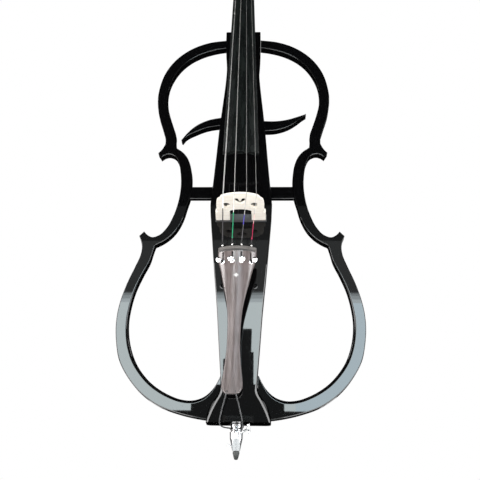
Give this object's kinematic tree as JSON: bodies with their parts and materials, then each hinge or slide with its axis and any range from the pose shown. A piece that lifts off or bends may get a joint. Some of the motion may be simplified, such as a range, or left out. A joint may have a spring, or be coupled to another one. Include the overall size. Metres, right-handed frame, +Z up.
{
  "type": "electric cello",
  "caption": "Electric cello: slim solid centre body with open outline side frames, arched fingerboard, bridge, tailpiece with fine tuners, pegs and a sliding endpin.",
  "frame": {"origin": "middle of the flat end of the endpin's rubber tip, with the endpin pushed in", "axes": "+Z up the instrument towards the scroll, -Y out of the front towards the player's bow, +X to the right of the front view, where the A string is"},
  "size_m": [0.418, 0.1929, 1.2513],
  "materials": {
    "piano_black": "black lacquer, polished",
    "board_black": "blackened fingerboard, satin",
    "ebony": "black stained hardwood",
    "rosewood": "dark oiled hardwood, polished",
    "maple": "pale unvarnished maple",
    "chrome": "polished plating",
    "steel": "drawn steel",
    "cord_black": "black cord",
    "rubber": "black rubber",
    "plastic_black": "black plastic",
    "board_green": "green circuit board",
    "pearl": "pale shell inlay",
    "battery": "dark battery case"
  },
  "bodies": {
    "instrument": {"centre_body": "piano_black", "frame_left": "piano_black", "frame_right": "piano_black", "blade_left": "piano_black", "blade_right": "piano_black", "cross_bar_left": "piano_black", "cross_bar_right": "piano_black", "fingerboard": "board_black", "neck": "piano_black", "top_nut": "ebony", "bridge": "maple", "pickup_strip": "plastic_black", "tailpiece": "rosewood", "tailpiece_fret": "ebony", "tailpiece_inlay": "pearl", "tuner_frame_c": "chrome", "tuner_frame_g": "chrome", "tuner_frame_d": "chrome", "tuner_frame_a": "chrome", "string_c": "steel", "string_g": "steel", "string_d": "steel", "string_a": "steel", "tail_gut": "cord_black", "lower_saddle": "ebony", "endpin_plug": "ebony", "endpin_collar": "chrome", "back_cover": "plastic_black", "cover_screw_low": "steel", "cover_screw_top": "steel", "volume_control": "steel", "tone_control": "steel", "output_socket": "steel", "phones_socket": "steel", "battery": "battery", "battery_clip": "plastic_black", "preamp_board": "board_green", "switch_body": "steel", "pickup_lead": "cord_black"},
    "peg_c": {"peg_c": "ebony"},
    "tuner_lever_c": {"tuner_lever_c": "chrome"},
    "tuner_screw_c": {"tuner_screw_c": "chrome"},
    "peg_g": {"peg_g": "ebony"},
    "tuner_lever_g": {"tuner_lever_g": "chrome"},
    "tuner_screw_g": {"tuner_screw_g": "chrome"},
    "peg_d": {"peg_d": "ebony"},
    "tuner_lever_d": {"tuner_lever_d": "chrome"},
    "tuner_screw_d": {"tuner_screw_d": "chrome"},
    "peg_a": {"peg_a": "ebony"},
    "tuner_lever_a": {"tuner_lever_a": "chrome"},
    "tuner_screw_a": {"tuner_screw_a": "chrome"},
    "endpin_rod": {"endpin_rod": "steel", "endpin_tip": "rubber"},
    "clamp_wing_screw": {"clamp_wing_screw": "chrome"},
    "clamp_small_screw": {"clamp_small_screw": "chrome"},
    "volume_knob": {"volume_knob": "plastic_black"},
    "tone_knob": {"tone_knob": "plastic_black"},
    "battery_door": {"battery_door": "plastic_black"},
    "power_switch": {"power_switch": "plastic_black"}
  },
  "joints": [
    {"name": "peg_c_turn", "type": "hinge", "parent": "instrument", "child": "peg_c", "pos_m": [0.0035, 0.00558, 1.1166], "axis": [-1, 0, 0], "continuous": true},
    {"name": "peg_g_turn", "type": "hinge", "parent": "instrument", "child": "peg_g", "pos_m": [0.0035, 0.01994, 1.15606], "axis": [-1, 0, 0], "continuous": true},
    {"name": "peg_d_turn", "type": "hinge", "parent": "instrument", "child": "peg_d", "pos_m": [0.0035, 0.02678, 1.17486], "axis": [1, 0, 0], "continuous": true},
    {"name": "peg_a_turn", "type": "hinge", "parent": "instrument", "child": "peg_a", "pos_m": [0.0035, 0.01242, 1.13539], "axis": [1, 0, 0], "continuous": true},
    {"name": "tuner_c_screw", "type": "slide", "parent": "instrument", "child": "tuner_screw_c", "axis": [0.4506, 0.8852, 0.1153], "range_m": [0, 0.002]},
    {"name": "tuner_c_lever", "type": "hinge", "parent": "instrument", "child": "tuner_lever_c", "pos_m": [-0.01766, -0.06406, 0.31822], "axis": [0.8927, -0.4468, -0.0582], "range_deg": [0, 8.81], "deforming": ["string_c"]},
    {"name": "tuner_g_screw", "type": "slide", "parent": "instrument", "child": "tuner_screw_g", "axis": [0.1463, 0.981, 0.1278], "range_m": [0, 0.002]},
    {"name": "tuner_g_lever", "type": "hinge", "parent": "instrument", "child": "tuner_lever_g", "pos_m": [-0.0063, -0.06768, 0.31839], "axis": [0.9892, -0.145, -0.0189], "range_deg": [0, 8.81], "deforming": ["string_g"]},
    {"name": "tuner_d_screw", "type": "slide", "parent": "instrument", "child": "tuner_screw_d", "axis": [-0.1463, 0.981, 0.1278], "range_m": [0, 0.002]},
    {"name": "tuner_d_lever", "type": "hinge", "parent": "instrument", "child": "tuner_lever_d", "pos_m": [0.00461, -0.06768, 0.31839], "axis": [0.9892, 0.145, 0.0189], "range_deg": [0, 8.81], "deforming": ["string_d"]},
    {"name": "tuner_a_screw", "type": "slide", "parent": "instrument", "child": "tuner_screw_a", "axis": [-0.4506, 0.8852, 0.1153], "range_m": [0, 0.002]},
    {"name": "tuner_a_lever", "type": "hinge", "parent": "instrument", "child": "tuner_lever_a", "pos_m": [0.01596, -0.06406, 0.31822], "axis": [0.8927, 0.4468, 0.0582], "range_deg": [0, 8.81], "deforming": ["string_a"]},
    {"name": "endpin_slide", "type": "slide", "parent": "instrument", "child": "endpin_rod", "axis": [0, 0, -1], "range_m": [0, 0.3]},
    {"name": "clamp_wing_screw_turn", "type": "hinge", "parent": "instrument", "child": "clamp_wing_screw", "pos_m": [0.0024, -0.0039, 0.0373], "axis": [0.5186, -0.8364, 0.1773], "range_deg": [-270, 90]},
    {"name": "clamp_small_screw_turn", "type": "hinge", "parent": "instrument", "child": "clamp_small_screw", "pos_m": [-0.0047, -0.0012, 0.0204], "axis": [-0.9701, -0.2425, 0], "range_deg": [-270, 90]},
    {"name": "volume_knob_turn", "type": "hinge", "parent": "instrument", "child": "volume_knob", "pos_m": [-0.012, 0.022, 0.542], "axis": [0, 1, 0], "range_deg": [-150, 150]},
    {"name": "tone_knob_turn", "type": "hinge", "parent": "instrument", "child": "tone_knob", "pos_m": [0.019, 0.022, 0.542], "axis": [0, 1, 0], "range_deg": [-150, 150]},
    {"name": "battery_door_hinge", "type": "hinge", "parent": "instrument", "child": "battery_door", "pos_m": [0.0035, 0.022, 0.467], "axis": [-1, 0, 0], "range_deg": [0, 100]},
    {"name": "power_switch_slide", "type": "slide", "parent": "instrument", "child": "power_switch", "axis": [0, 0, 1], "range_m": [0, 0.006]}
  ],
  "couplings": [
    {"joint": "tuner_c_lever", "follows": "tuner_c_screw", "rad_per_m": 76.923},
    {"joint": "tuner_g_lever", "follows": "tuner_g_screw", "rad_per_m": 76.923},
    {"joint": "tuner_d_lever", "follows": "tuner_d_screw", "rad_per_m": 76.923},
    {"joint": "tuner_a_lever", "follows": "tuner_a_screw", "rad_per_m": 76.923}
  ]
}
